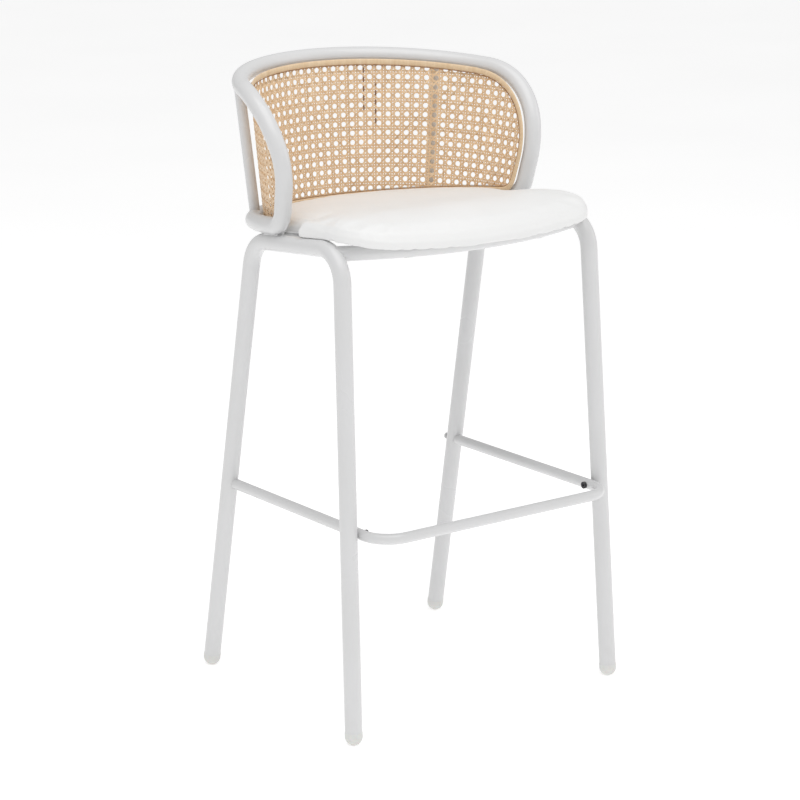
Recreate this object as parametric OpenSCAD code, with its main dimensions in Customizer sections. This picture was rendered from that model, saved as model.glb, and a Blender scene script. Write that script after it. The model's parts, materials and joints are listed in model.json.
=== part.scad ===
// Bar stool with footrest: bent tube frame, upholstered seat, hoop back with a woven cane panel.
// Millimetres, +Z up, the front of the stool faces -Y.

/* [Frame] */
// Height of the side rail's centreline at the middle of the stool
rail_h = 702; // [500:1:800]
// Seat pitch, rising towards the front, in degrees
pitch = 5.7; // [0:0.1:8]
// Distance from the middle plane to a side frame at the floor
frame_half_w = 231.9; // [190:0.1:260]
// How far the legs lean out towards the floor, in degrees
frame_lean = 1.1; // [0:0.1:4]
// How far the side frames close in towards the rear, in degrees
frame_toe = 3.1; // [0:0.1:6]
// Front foot position ahead of the seat's centre line
front_foot_y = 171; // [130:1:220]
// Rear foot position behind the seat's centre line
rear_foot_y = 237.5; // [180:0.5:280]
// Front corner of the side frame
front_top_y = 125.5; // [100:0.5:160]
// Rear corner of the side frame
rear_top_y = 113.5; // [90:0.5:150]
// Outer diameter of the leg tube
leg_d = 25.4; // [20:0.1:32]
// Wall of the leg tube
leg_wall = 1.5; // [1:0.1:3]
// Bend radius of the side frames at the tube's centreline
leg_bend_r = 48; // [35:1:70]

/* [Footrest] */
// Height of the footrest bar's centreline
foot_h = 305.6; // [200:0.1:400]
// Front bar position ahead of the seat's centre line
foot_front_y = 202.4; // [185:0.1:240]
// Outer diameter of the footrest tube
foot_d = 16; // [12:0.5:22]
// Wall of the footrest tube
foot_wall = 1.2; // [1:0.1:2]
// Bend radius of the footrest corners at the centreline
foot_bend_r = 42; // [25:1:60]

/* [Back] */
// Outer diameter of the hoop tube
hoop_d = 25.4; // [20:0.1:30]
// Wall of the hoop tube
hoop_wall = 1.5; // [1:0.1:3]
// Radius of the top rail in plan
top_r = 242.5; // [220:0.5:260]
// Middle of the top rail's arc behind the seat's centre line
top_y = 26.8; // [10:0.1:45]
// Height of the top rail above the lower ring at the sides
back_h = 181; // [165:1:260]
// How much the top rail rises to the rear, in degrees
top_rise = 5.1; // [0:0.1:10]
// Radius of the lower ring in plan
ring_r = 220; // [200:0.5:235]
// Middle of the lower ring's arc behind the seat's centre line
ring_y = 34; // [20:1:50]
// Length of the top rail from its middle to where the arm's line would meet it
arm_top_s = 408; // [390:1:440]
// Length of the lower ring from its middle to where the arm's line would meet it
arm_low_s = 371; // [350:1:385]
// Radius of the arm's sweep into the top rail
arm_r = 105; // [70:1:115]
// Radius of the arm's bend into the lower ring
arm_low_r = 32; // [20:1:40]
// Diameter of the rear posts
post_d = 16; // [12:0.5:20]
// Angle of the rear posts from the side, in plan
post_angle = 42; // [20:1:70]
// Thickness of the woven cane
cane_t = 2.4; // [1.5:0.1:4]
// Width of the rattan strip round the cane
binding_w = 6; // [4:0.5:10]

/* [Seat] */
// Half of the seat's width
seat_half_w = 226; // [200:1:245]
// Front edge of the seat ahead of its centre line
seat_front_y = 194; // [170:1:260]
// Radius of the seat's front bow
seat_front_r = 700; // [300:5:900]
// Radius of the seat's front corners
seat_corner_r = 82; // [40:1:110]
// Whole thickness of the upholstered seat
seat_t = 25; // [20:0.5:60]
// Thickness of the plywood board
board_t = 9; // [6:0.5:15]
// Radius of the seat's droop at the front
droop_r = 322; // [250:10:2000]
// Where the droop starts ahead of the seat's centre line
droop_y = 70; // [0:1:100]
// Thickness of the upholstery cover
cover_t = 1.2; // [0.8:0.1:3]
// Outer diameter of the crossbars
bar_d = 22; // [14:0.5:28]
// Front reach of the front crossbar ahead of the centre line
bar_front_y = 155; // [120:1:215]
// Where the front crossbar meets the side rails, ahead of the centre line
bar_end_y = 102; // [75:1:108]
// Rear crossbar position behind the centre line
bar_rear_y = 62; // [40:1:70]

/* [Hidden] */
$fn = 48;
leg_r = leg_d/2;
foot_r = foot_d/2;
hoop_r = hoop_d/2;
post_r = post_d/2;
bar_r = bar_d/2;
bar_wall = 1.5;
cane_gap = 1.4;
kp = tan(pitch);
kt = tan(top_rise);

// Floor to domed foot: the flat under each glide is cut this far below the dome's middle.
dome_r = leg_r + 0.3;
dome_z = dome_r - 0.6;
collar = 6;

// Height of the side rail's centreline, and of the lower ring that sits on it, at any y.
function rail_z(y) = rail_h - kp*y;
function ring_z(y) = rail_z(y) + leg_r + hoop_r;
function top_z(y) = ring_z(top_y) + back_h + kt*(y - top_y);

// The whole stool is moved so that its bounding box is centred on the origin.
hoop_rear = top_y + top_r + hoop_r;
shift_y = (max(seat_front_y, foot_front_y + foot_r) - hoop_rear)/2;

// Corners of one side frame's centreline, in its own plane as [y, z].
side_path = [[-front_foot_y, dome_z], [-front_top_y, rail_z(-front_top_y)],
             [rear_top_y, rail_z(rear_top_y)], [rear_foot_y, dome_z]];

// Height along a leg to a point on its centreline, in the frame's plane.
function on_leg(a, b, z) = a + (b - a)*(z - a[1])/(b[1] - a[1]);
// The frame's plane seen in the stool: x at a given y and z.
function frame_x(y, z) = frame_half_w - tan(frame_toe)*y - tan(frame_lean)*z;

front_leg_y = on_leg(side_path[0], side_path[1], foot_h)[0];
rear_leg_y = on_leg(side_path[3], side_path[2], foot_h)[0];
// The footrest's side bars run along the inside of the front legs.
foot_x = frame_x(front_leg_y, foot_h) - leg_r - foot_r - 0.4;
foot_end_y = rear_leg_y - sqrt(leg_r*leg_r - pow(frame_x(rear_leg_y, foot_h) - foot_x, 2)) - 0.3;

// A seam band's half length, and how far it stands out.
seam_l = 0.3;
seam_r = 0.05;

WHITE = [0.93, 0.93, 0.92];
DARK = [0.12, 0.12, 0.13];
STEEL = [0.7, 0.7, 0.72];

// ---- tubes ----

function angle_at(p, q, s) = acos(unit(p - q)*unit(s - q));
function run_in(p, q, s, r) = r/tan(angle_at(p, q, s)/2);
function euler(a, b, c) = [atan2(b[2], c[2]), -asin(a[2]), atan2(a[1], a[0])];

// A straight tube, or a rod when the wall is 0.
module rod(p, q, r, wall = 0)
{
    d = q - p;
    translate(p)
        rotate([0, acos(d[2]/norm(d)), atan2(d[1], d[0])])
            difference() {
                cylinder(h = norm(d), r = r);
                if (wall > 0) translate([0, 0, -1]) cylinder(h = norm(d) + 2, r = r - wall);
            }
}

// Stands things drawn about the Z axis at p, with Z along d.
module turned(p, d)
{
    translate(p) rotate([0, acos(d[2]/norm(d)), atan2(d[1], d[0])]) children();
}

// A bend of centreline radius rb at corner q, between the lines to p and to s.
module bend(p, q, s, rb, r, wall = 0)
{
    u = unit(p - q);
    v = unit(s - q);
    t = run_in(p, q, s, rb);
    c = q + unit(u + v)*rb/sin(angle_at(p, q, s)/2);
    a = unit(q + u*t - c);
    n = unit(cross(a, q + v*t - c));
    translate(c)
        rotate(euler(a, cross(n, a), n))
            rotate_extrude(angle = 180 - angle_at(p, q, s))
                translate([rb, 0])
                    difference() {
                        circle(r = r);
                        if (wall > 0) circle(r = r - wall);
                    }
}

// A hair-thin band over the ends p and q where two lengths of tube meet, so that they're one solid.
module seam(p, q, d, r, wall)
{
    rod(p - d*seam_l, q + d*seam_l, r + seam_r, wall > 0 ? wall + 2*seam_r : 0);
}

// A bent tube through pts, with one bend radius for each point (0 at open ends).
module pipe(pts, radii, r, wall = 0, closed = false)
{
    n = len(pts);
    for (i = [0 : closed ? n - 1 : n - 2]) {
        p = pts[(i + n - 1) % n];
        a = pts[i];
        b = pts[(i + 1) % n];
        c = pts[(i + 2) % n];
        d = unit(b - a);
        ta = radii[i] > 0 ? run_in(p, a, b, radii[i]) : 0;
        tb = radii[(i + 1) % n] > 0 ? run_in(a, b, c, radii[(i + 1) % n]) : 0;
        straight = norm(b - a) - ta - tb > 1.6;
        if (radii[i] > 0) bend(p, a, b, radii[i], r, wall);
        if (straight) rod(a + d*ta, b - d*tb, r, wall);
        if (straight && ta > 0) seam(a + d*ta, a + d*ta, d, r, wall);
        if (straight && tb > 0) seam(b - d*tb, b - d*tb, d, r, wall);
        if (!straight) seam(a + d*ta, b - d*tb, d, r, wall);
    }
}

// ---- side frames ----

// Puts things drawn in the side frame's own YZ plane into place; side is 1 right, -1 left.
module in_frame(side)
{
    mirror([side < 0 ? 1 : 0, 0, 0])
        translate([frame_half_w, shift_y, 0])
            rotate([0, -frame_lean, frame_toe])
                children();
}

function up3(p) = [0, p[0], p[1]];
function leg_dir(a, b) = unit(up3(b) - up3(a));

module side_tube(r, wall)
{
    f = up3(side_path[0]) + leg_dir(side_path[0], side_path[1])*collar;
    b = up3(side_path[3]) + leg_dir(side_path[3], side_path[2])*collar;
    pipe([f, up3(side_path[1]), up3(side_path[2]), b], [0, leg_bend_r, leg_bend_r, 0], r, wall);
}

module side_frame(side)
{
    color(WHITE)
        difference() {
            in_frame(side) side_tube(leg_r, leg_wall);
            footrest_holes(side);
        }
}

// Screw holes in one side's legs, drawn in the stool's frame.
module footrest_holes(side)
{
    translate([side*foot_x, shift_y + front_leg_y, foot_h])
        rotate([0, side*90, 0])
            cylinder(h = leg_d, r = 4.3, $fn = 24);
    translate([side*foot_x, shift_y + foot_end_y, foot_h])
        rotate([-90, 0, 0])
            translate([0, 0, -2])
                cylinder(h = leg_d + 12, r = 3.3, $fn = 24);
}

// A domed foot with a stem in the leg and a small flat on the floor.
module glide(side, a, b)
{
    d = leg_dir(a, b);
    color(WHITE)
        difference() {
            in_frame(side) {
                turned(up3(a), d)
                    rotate_extrude()
                    {
                        intersection() {
                            circle(r = dome_r);
                            translate([0, -dome_r]) square([dome_r, dome_r]);
                        }
                        square([dome_r, collar]);
                        translate([0, collar]) square([leg_r - leg_wall - 0.1, 20]);
                    }
            }
            translate([-400, -400, -60]) cube([800, 800, 60]);
        }
}

// ---- footrest ----

// The outside of a rear leg, to cut what butts against it.
module rear_leg_outside(side)
{
    in_frame(side) rod(up3(side_path[3]), up3(side_path[2]), leg_r + 0.02);
}

module footrest()
{
    e = shift_y + foot_end_y;
    f = shift_y - foot_front_y;
    color(WHITE)
        difference() {
            pipe([[-foot_x, e, foot_h], [-foot_x, f, foot_h], [foot_x, f, foot_h], [foot_x, e, foot_h]],
                 [0, foot_bend_r, foot_bend_r, 0], foot_r, foot_wall);
            for (side = [-1, 1]) rear_leg_outside(side);
            for (side = [-1, 1]) {
                translate([side*foot_x - 20, shift_y + front_leg_y, foot_h])
                    rotate([0, 90, 0])
                        cylinder(h = 40, r = 3.3, $fn = 24);
            }
        }
}

// Socket screw lying along +X from the back of its head.
module screw(length, r, head_r, head_h)
{
    rotate([0, 90, 0])
        difference() {
            union() {
                cylinder(h = length + head_h, r = r, $fn = 24);
                cylinder(h = head_h, r = head_r, $fn = 32);
            }
            translate([0, 0, -1]) cylinder(h = head_h*0.6 + 1, r = r*0.62, $fn = 6);
        }
}

module footrest_front_screws()
{
    color(DARK)
        for (side = [-1, 1]) {
            translate([side*(foot_x - foot_r - 3.2), shift_y + front_leg_y, foot_h])
                mirror([side < 0 ? 1 : 0, 0, 0])
                    screw(foot_d + 13, 2.9, 5.2, 3.2);
        }
}

module leg_rivet_nuts()
{
    color(STEEL)
        for (side = [-1, 1]) {
            translate([side*(foot_x + foot_r + 0.6), shift_y + front_leg_y, foot_h])
                rotate([0, side*90, 0])
                    difference() {
                        cylinder(h = 13, r = 4.2, $fn = 24);
                        translate([0, 0, -1]) cylinder(h = 15, r = 2.95, $fn = 24);
                    }
        }
}

module footrest_end_plugs()
{
    color(STEEL)
        for (side = [-1, 1]) {
            difference() {
                translate([side*foot_x, shift_y + foot_end_y, foot_h])
                    rotate([90, 0, 0])
                        difference() {
                            cylinder(h = 22, r = foot_r - foot_wall - 0.05);
                            translate([0, 0, -1]) cylinder(h = 20, r = 2.95, $fn = 24);
                        }
                rear_leg_outside(side);
            }
        }
}

module footrest_rear_screws()
{
    color(WHITE)
        for (side = [-1, 1]) {
            translate([side*foot_x, shift_y + foot_end_y + leg_d + 3.8, foot_h])
                rotate([0, 0, -90])
                    screw(leg_d + 14, 2.9, 5.2, 3.2);
        }
}

// ---- crossbars ----

bar_z = seat_z(-bar_front_y, 0) - 2.2 - bar_r;
bar_x = frame_x(-bar_end_y, bar_z);
bar_bow = bar_front_y - bar_end_y;
bar_arc_r = (bar_x*bar_x + bar_bow*bar_bow)/(2*bar_bow);
bar_half_angle = asin(bar_x/bar_arc_r);
rear_bar_z = rail_z(bar_rear_y) + leg_r - bar_r - 0.8;
screw_x = 120;
access_r = 6.2;
screw_front_y = bar_arc_r - bar_front_y - sqrt(bar_arc_r*bar_arc_r - screw_x*screw_x);

module front_bar_shape(r, wall)
{
    translate([0, shift_y + bar_arc_r - bar_front_y, bar_z])
        rotate([0, 0, -90 - bar_half_angle])
            rotate_extrude(angle = 2*bar_half_angle)
                translate([bar_arc_r, 0])
                    difference() {
                        circle(r = r);
                        if (wall > 0) circle(r = r - wall);
                    }
}

module screw_holes(y, z)
{
    for (side = [-1, 1]) {
        translate([side*screw_x, shift_y + y, z - 40]) cylinder(h = 80, r = 3.3, $fn = 24);
    }
}

// The wider holes under a crossbar, for putting its screws in.
module access_holes(y, z)
{
    for (side = [-1, 1]) {
        translate([side*screw_x, shift_y + y, z - 30]) cylinder(h = 27, r = access_r, $fn = 32);
    }
}

module front_crossbar()
{
    color(WHITE)
        difference() {
            front_bar_shape(bar_r, bar_wall);
            for (side = [-1, 1]) in_frame(side) side_tube(leg_r, 0);
            screw_holes(screw_front_y, bar_z);
            access_holes(screw_front_y, bar_z);
        }
}

module rear_crossbar()
{
    x = frame_x(bar_rear_y, rear_bar_z);
    color(WHITE)
        difference() {
            rod([-x, shift_y + bar_rear_y, rear_bar_z], [x, shift_y + bar_rear_y, rear_bar_z], bar_r, bar_wall);
            for (side = [-1, 1]) in_frame(side) side_tube(leg_r, 0);
            screw_holes(bar_rear_y, rear_bar_z);
            access_holes(bar_rear_y, rear_bar_z);
        }
}

// ---- seat ----

// Points on an arc, from angle a0 to a1 in n steps.
function arc(c, r, a0, a1, n) = [for (i = [0 : n]) c + r*[cos(a0 + (a1 - a0)*i/n), sin(a0 + (a1 - a0)*i/n)]];

seat_rear_r = ring_r - hoop_r - cane_gap - cane_t - 3.6;
front_c = seat_front_r - seat_front_y;
notch_y = 12;
wrap_w = 22;

// The front bow and corner of a seat that is w wide each side, drawn inwards by e.
function bow(w, e) =
    let (x = w - seat_corner_r, a = acos(x/(seat_front_r - seat_corner_r)),
         y = front_c - (seat_front_r - seat_corner_r)*sin(a))
    concat(arc([0, front_c], seat_front_r - e, -90, -a, 6), arc([x, y], seat_corner_r - e, -a, 0, 8));

// The right half of the seat in plan, drawn inwards by e.
function seat_half(e) = concat(
    bow(seat_half_w, e),
    arc([seat_half_w - 14, -notch_y - 14], 14 - e, 0, 60, 3),
    arc([seat_rear_r + 4, -notch_y + 8], 4 + e, 240, 180, 2),
    arc([0, ring_y], seat_rear_r - e, 0, 90, 14));

function flip(pts) = [for (i = [len(pts) - 2 : -1 : 1]) [-pts[i][0], pts[i][1]]];

// The same without the side notches, for what lies inside the seat's underside.
function core_half(e) = concat(bow(seat_rear_r, e), arc([0, ring_y], seat_rear_r - e, 0, 90, 14));

module core_plan(e)
{
    polygon(concat(core_half(e), flip(core_half(e))));
}

module seat_plan(e)
{
    polygon(concat(seat_half(e), flip(seat_half(e))));
}

// How far the seat has drooped below the rail plane at y.
function droop(y) = y > -droop_y ? 0 : droop_r - sqrt(droop_r*droop_r - pow(-droop_y - y, 2));
// Height of the seat's underside at y, raised by h.
function seat_z(y, h) = rail_z(y) + leg_r - droop(y) + h;

front_ys = [for (i = [0 : 8]) -260 + i*(260 - droop_y)/8];

// A slice of the seat between two heights above its underside; the plan comes as a child.
module slice(lo, hi)
{
    translate([0, shift_y, 0])
        intersection() {
            translate([0, 0, rail_h - 60]) linear_extrude(height = 160) children();
            rotate([90, 0, 90])
                translate([0, 0, -300])
                    linear_extrude(height = 600)
                        polygon(concat(
                            [for (y = front_ys) [y, seat_z(y, lo)]],
                            [[280, seat_z(280, lo)], [280, seat_z(280, hi)]],
                            [for (i = [8 : -1 : 0]) [front_ys[i], seat_z(front_ys[i], hi)]]));
        }
}

module seat_slice(lo, hi, e)
{
    slice(lo, hi) seat_plan(e);
}

module seat_board()
{
    color([0.72, 0.56, 0.38])
        difference() {
            seat_slice(cover_t + 0.1, cover_t + 0.1 + board_t, cover_t + 0.2);
            for (side = [-1, 1], y = [screw_front_y, bar_rear_y]) {
                translate([side*screw_x, shift_y + y, rail_h - 60]) cylinder(h = 140, r = 4.1, $fn = 24);
            }
        }
}

module seat_foam()
{
    color([0.95, 0.93, 0.85])
        difference() {
            seat_slice(cover_t + board_t + 0.4, seat_t - cover_t - 0.3, cover_t + 0.4);
            for (side = [-1, 1], y = [screw_front_y, bar_rear_y]) {
                translate([side*screw_x, shift_y + y, seat_z(y, 0) - 40]) cylinder(h = 40 + cover_t + board_t + 3, r = 10.5, $fn = 24);
            }
        }
}

module seat_cover()
{
    color([0.96, 0.96, 0.95])
        difference() {
            seat_slice(0.05, seat_t, 0);
            seat_slice(cover_t, seat_t - cover_t, cover_t);
            slice(-5, cover_t + 1) core_plan(wrap_w);
        }
}

module dust_cover()
{
    color(DARK)
        difference() {
            slice(cover_t - 0.5, cover_t) core_plan(wrap_w + 0.3);
            for (side = [-1, 1]) {
                translate([side*screw_x, shift_y + screw_front_y, bar_z]) cylinder(h = 60, r = 8.6, $fn = 32);
            }
            screw_holes(bar_rear_y, rear_bar_z);
        }
}

// Puts its first child at the front seat screws and its second at the rear ones.
module at_screws()
{
    for (side = [-1, 1]) {
        translate([side*screw_x, shift_y + screw_front_y, bar_z]) children(0);
        translate([side*screw_x, shift_y + bar_rear_y, rear_bar_z]) children(1);
    }
}

front_gap = seat_z(screw_front_y, cover_t) - bar_z;
rear_gap = seat_z(bar_rear_y, cover_t) - rear_bar_z;

// Where the screw heads start, inside the crossbar and under its top wall.
head_z = sqrt(pow(bar_r - bar_wall, 2) - 5.2*5.2) - 3.3;

module seat_screws()
{
    color(DARK)
        at_screws() {
            translate([0, 0, head_z]) rotate([0, -90, 0]) screw(front_gap + board_t - head_z - 3, 2.9, 5.2, 3.2);
            translate([0, 0, head_z]) rotate([0, -90, 0]) screw(rear_gap + board_t - head_z - 3, 2.9, 5.2, 3.2);
        }
}

// Caps that close the wider holes under the crossbars.
module crossbar_caps()
{
    color(WHITE)
        for (side = [-1, 1]) {
            intersection() {
                translate([side*screw_x, shift_y + screw_front_y, bar_z - 20]) cylinder(h = 17, r = access_r - 0.05, $fn = 32);
                front_bar_shape(bar_r + 0.4, bar_wall + 1);
            }
            intersection() {
                translate([side*screw_x, shift_y + bar_rear_y, rear_bar_z - 20]) cylinder(h = 17, r = access_r - 0.05, $fn = 32);
                rod([side*screw_x - 15, shift_y + bar_rear_y, rear_bar_z],
                    [side*screw_x + 15, shift_y + bar_rear_y, rear_bar_z], bar_r + 0.4, bar_wall + 1);
            }
        }
}

// Rubber spacers fill the gap between the front crossbar and the drooping board.
module seat_spacers()
{
    color(DARK)
        for (side = [-1, 1]) {
            difference() {
                translate([side*screw_x, shift_y + screw_front_y, bar_z + 4]) cylinder(h = front_gap - 4.9, r = 8, $fn = 32);
                translate([side*screw_x, shift_y + screw_front_y, bar_z]) cylinder(h = 40, r = 3.1, $fn = 24);
                front_bar_shape(bar_r + 0.02, 0);
            }
        }
}

module tee_nut()
{
    difference() {
        union() {
            translate([0, 0, -board_t + 1]) cylinder(h = board_t - 1, r = 4, $fn = 24);
            cylinder(h = 1.4, r = 9.5, $fn = 32);
        }
        translate([0, 0, -board_t]) cylinder(h = board_t + 4, r = 2.95, $fn = 24);
    }
}

module tee_nuts()
{
    color(STEEL)
        at_screws() {
            translate([0, 0, front_gap + board_t + 1.1]) tee_nut();
            translate([0, 0, rear_gap + board_t + 1.3]) tee_nut();
        }
}

// ---- back ----

// The hoop lies on a flared surface. A point on it is s along from the middle of the back and h up
// from the lower ring; out pushes it away from the axis.
unroll_r = (top_r + ring_r)/2;
function on_surface(s, h, out = 1) =
    let (a = 90 - s/unroll_r*180/PI, w = h/back_h, r = (ring_r + (top_r - ring_r)*w)*out,
         y = ring_y + (top_y - ring_y)*w + r*sin(a))
    [r*cos(a), y, ring_z(y) + (top_z(y) - ring_z(y))*w];

function unit(v) = v/norm(v);
function fillet_c(p, q, s, r) = q + unit(unit(p - q) + unit(s - q))*r/sin(acos(unit(p - q)*unit(s - q))/2);

// The arm's outline, laid flat: the top rail's line, the arm's line and the ring's line.
arm_top = [arm_top_s, back_h];
arm_low = [arm_low_s, 0];
arm_turn = 180 - acos(unit([-1, 0])*unit(arm_low - arm_top));
arm_c = fillet_c([0, back_h], arm_top, arm_low, arm_r);
top_end_s = arm_top_s - arm_r*tan(arm_turn/2) - 1.5;
sweep_n = 3;
step = arm_turn/sweep_n;
sweep = [for (i = [0 : sweep_n - 1]) arm_c + arm_r/cos(step/2)*[cos(90 - step*(i + 0.5)), sin(90 - step*(i + 0.5))]];

// The ring's arc ends where the arm's lower bend begins, with a short straight between them.
low_run = arm_low_r*tan(90 - acos(unit(arm_top - arm_low)*[-1, 0])/2) + 2;
low_reach = atan(low_run/ring_r);
ring_end_s = arm_low_s - low_run;

half_hoop = concat([on_surface(top_end_s/2, back_h, 1/cos(top_end_s/2/unroll_r*180/PI))],
                   [for (p = sweep) on_surface(p[0], p[1])],
                   [on_surface(ring_end_s + low_reach/180*PI*unroll_r, 0, 1/cos(low_reach))],
                   [on_surface(ring_end_s/2, 0, 1/cos(ring_end_s/2/unroll_r*180/PI))]);
function placed(p, side) = [side*p[0], p[1] + shift_y, p[2]];
last = len(half_hoop) - 1;
hoop_path = concat([for (p = half_hoop) placed(p, 1)], [for (i = [last : -1 : 0]) placed(half_hoop[i], -1)]);

// Each bend takes half of the shorter length beside it; the two long arcs meet at the middle plane.
function corner(i) = angle_at(placed(half_hoop[i - 1], 1), placed(half_hoop[i], 1), placed(half_hoop[i + 1], 1));
function span(i) = norm(half_hoop[i + 1] - half_hoop[i]);
top_bend = angle_at(placed(half_hoop[0], -1), placed(half_hoop[0], 1), placed(half_hoop[1], 1));
ring_bend = angle_at(placed(half_hoop[last - 1], 1), placed(half_hoop[last], 1), placed(half_hoop[last], -1));
arm_radii = [for (i = [1 : sweep_n]) min(span(i), i > 1 ? span(i - 1) : span(i))/2*tan(corner(i)/2)];
half_radii = concat([half_hoop[0][0]*tan(top_bend/2)], arm_radii, [arm_low_r], [half_hoop[last][0]*tan(ring_bend/2)]);
hoop_radii = concat(half_radii, [for (i = [last : -1 : 0]) half_radii[i]]);

module hoop_shape(r, wall)
{
    pipe(hoop_path, hoop_radii, r, wall, closed = true);
}

module back_hoop()
{
    color(WHITE)
        difference() {
            hoop_shape(hoop_r, hoop_wall);
            // vent hole for the coating, under the rear of the ring
            translate([14, shift_y + ring_y + ring_r, ring_z(ring_y + ring_r) - hoop_r - 2]) cylinder(h = 8, r = 2);
        }
}

function post_low(side) = [side*ring_r*cos(post_angle), shift_y + ring_y + ring_r*sin(post_angle),
                           ring_z(ring_y + ring_r*sin(post_angle))];
function post_high(side) = [side*(top_r + 5)*cos(post_angle), shift_y + top_y + (top_r + 5)*sin(post_angle),
                            top_z(top_y + top_r*sin(post_angle))];

module back_post(side)
{
    color(WHITE)
        difference() {
            rod(post_low(side), post_high(side), post_r, 1.2);
            hoop_shape(hoop_r, 0);
        }
}

// ---- cane ----

// The hoop's inner outline seen from the side, drawn inwards by e and open to the rear.
function flat_arc(c, r, a0, a1, n) = [for (i = [0 : n]) c + r*[cos(a0 + (a1 - a0)*i/n), sin(a0 + (a1 - a0)*i/n)]];
function from_side(p) = let (q = on_surface(p[0], p[1])) [q[1], q[2]];
low_turn = 180 - arm_turn;
low_c = fillet_c(arm_top, arm_low, [0, 0], arm_low_r);

module side_view(e)
{
    polygon(concat([[400, top_z(400) - e]],
                   [for (p = flat_arc(arm_c, arm_r - e, 90, 90 - arm_turn, 14)) from_side(p)],
                   [for (p = flat_arc(low_c, arm_low_r - e, 90 - arm_turn, -90, 5)) from_side(p)],
                   [[400, ring_z(400) + e]]));
}

// The cane is a slice of a cone that follows the hoop's surface.
cone_h = back_h + (kp + kt)*unroll_r/2;
cone_slope = (top_r - ring_r)/cone_h;
cone_y = (ring_y + top_y)/2;
cone_tilt = atan((ring_y - top_y)/cone_h);

// A flared sheet whose outer face stands e inside the hoop's centreline.
module flared(e, t)
{
    reach = cone_h/2 + 60;
    translate([0, shift_y + cone_y, ring_z(cone_y) + back_h/2])
        rotate([cone_tilt, 0, 0])
            difference() {
                translate([0, 0, -reach]) cylinder(h = 2*reach, r1 = unroll_r - e - reach*cone_slope,
                                                   r2 = unroll_r - e + reach*cone_slope, $fn = 96);
                translate([0, 0, -reach - 1]) cylinder(h = 2*reach + 2, r1 = unroll_r - e - t - (reach + 1)*cone_slope,
                                                       r2 = unroll_r - e - t + (reach + 1)*cone_slope, $fn = 96);
            }
}

module through(e)
{
    translate([0, shift_y, 0])
        rotate([90, 0, 90])
            translate([0, 0, -300])
                linear_extrude(height = 600)
                    side_view(e);
}

cane_lap = hoop_r - 7;

module cane_panel()
{
    color([0.85, 0.68, 0.42])
        intersection() {
            flared(hoop_r + cane_gap, cane_t);
            through(cane_lap);
        }
}

module cane_binding()
{
    color([0.88, 0.76, 0.55])
        difference() {
            intersection() {
                flared(hoop_r + cane_gap + cane_t + 0.1, 2.2);
                through(cane_lap);
            }
            through(cane_lap + binding_w);
        }
}

weld_y = 56;

// Weld fillets between each side rail and the ring that sits on it.
module hoop_welds()
{
    color(WHITE)
        for (side = [-1, 1]) {
            difference() {
                translate([side*frame_x(weld_y, rail_z(weld_y)), shift_y + weld_y, rail_z(weld_y) + leg_r])
                    rotate([-pitch, 0, 0])
                        cube([12, 36, 8], center = true);
                in_frame(side) rod(up3(side_path[1]), up3(side_path[2]), leg_r + 0.02, $fn = 180);
                pipe([placed(half_hoop[last - 2], side), placed(half_hoop[last - 1], side),
                      placed(half_hoop[last], side), placed(half_hoop[last], -side)],
                     [0, half_radii[last - 1], half_radii[last], 0], hoop_r + 0.02, $fn = 180);
            }
        }
}

side_frame(-1);  // side_frame_left
side_frame(1);  // side_frame_right
glide(-1, side_path[0], side_path[1]);  // glide_front_left
glide(1, side_path[0], side_path[1]);  // glide_front_right
glide(-1, side_path[3], side_path[2]);  // glide_rear_left
glide(1, side_path[3], side_path[2]);  // glide_rear_right
footrest();
footrest_front_screws();
footrest_rear_screws();
footrest_end_plugs();
leg_rivet_nuts();
front_crossbar();
rear_crossbar();
seat_board();
seat_foam();
seat_cover();
dust_cover();
seat_screws();
crossbar_caps();
seat_spacers();
tee_nuts();
back_hoop();
back_post(-1);  // back_post_left
back_post(1);  // back_post_right
cane_panel();
cane_binding();
hoop_welds();
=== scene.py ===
"""Bar stool with a footrest: powder-coated tube frame, woven cane back and an upholstered seat."""

import json
import math

import bpy
import numpy as np
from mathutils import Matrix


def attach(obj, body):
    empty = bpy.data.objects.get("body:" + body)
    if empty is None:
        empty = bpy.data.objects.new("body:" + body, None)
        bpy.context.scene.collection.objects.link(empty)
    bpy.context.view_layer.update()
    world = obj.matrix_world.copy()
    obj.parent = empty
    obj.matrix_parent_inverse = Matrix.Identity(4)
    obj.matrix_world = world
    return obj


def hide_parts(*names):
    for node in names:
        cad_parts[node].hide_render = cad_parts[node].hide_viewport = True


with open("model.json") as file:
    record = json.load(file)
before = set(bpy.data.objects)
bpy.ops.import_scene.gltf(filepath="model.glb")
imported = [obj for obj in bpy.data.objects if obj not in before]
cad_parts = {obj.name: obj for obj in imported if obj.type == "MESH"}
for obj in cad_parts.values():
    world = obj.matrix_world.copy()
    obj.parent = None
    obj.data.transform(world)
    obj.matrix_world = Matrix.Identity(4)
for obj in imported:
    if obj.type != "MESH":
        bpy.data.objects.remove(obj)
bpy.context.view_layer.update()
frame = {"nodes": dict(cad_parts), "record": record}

MM = 0.001
scene = bpy.context.scene
rng = np.random.default_rng(27)

# ---- sizes shared with the frame, in millimetres and degrees ----

SHIFT_Y = -35.8
TUBE_R = 12.7
RAIL_H = 702.0
RAIL_SLOPE = math.tan(math.radians(5.7))
TOP_SLOPE = math.tan(math.radians(5.1))
BACK_H = 181.0
RING_R, RING_Y = 220.0, 34.0
TOP_R, TOP_Y = 242.5, 26.8
ARM_TOP_S, ARM_LOW_S = 408.0, 371.0
ARM_R, ARM_LOW_R = 105.0, 32.0
UNROLL_R = (RING_R + TOP_R) / 2

SEAT_HALF_W = 226.0
SEAT_FRONT_Y = 194.0
SEAT_FRONT_R = 700.0
SEAT_CORNER_R = 82.0
SEAT_REAR_R = 199.9
SEAT_T = 25.0
NOTCH_Y = 12.0
DROOP_R, DROOP_Y = 322.0, 70.0
WRAP_W = 22.0

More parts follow.
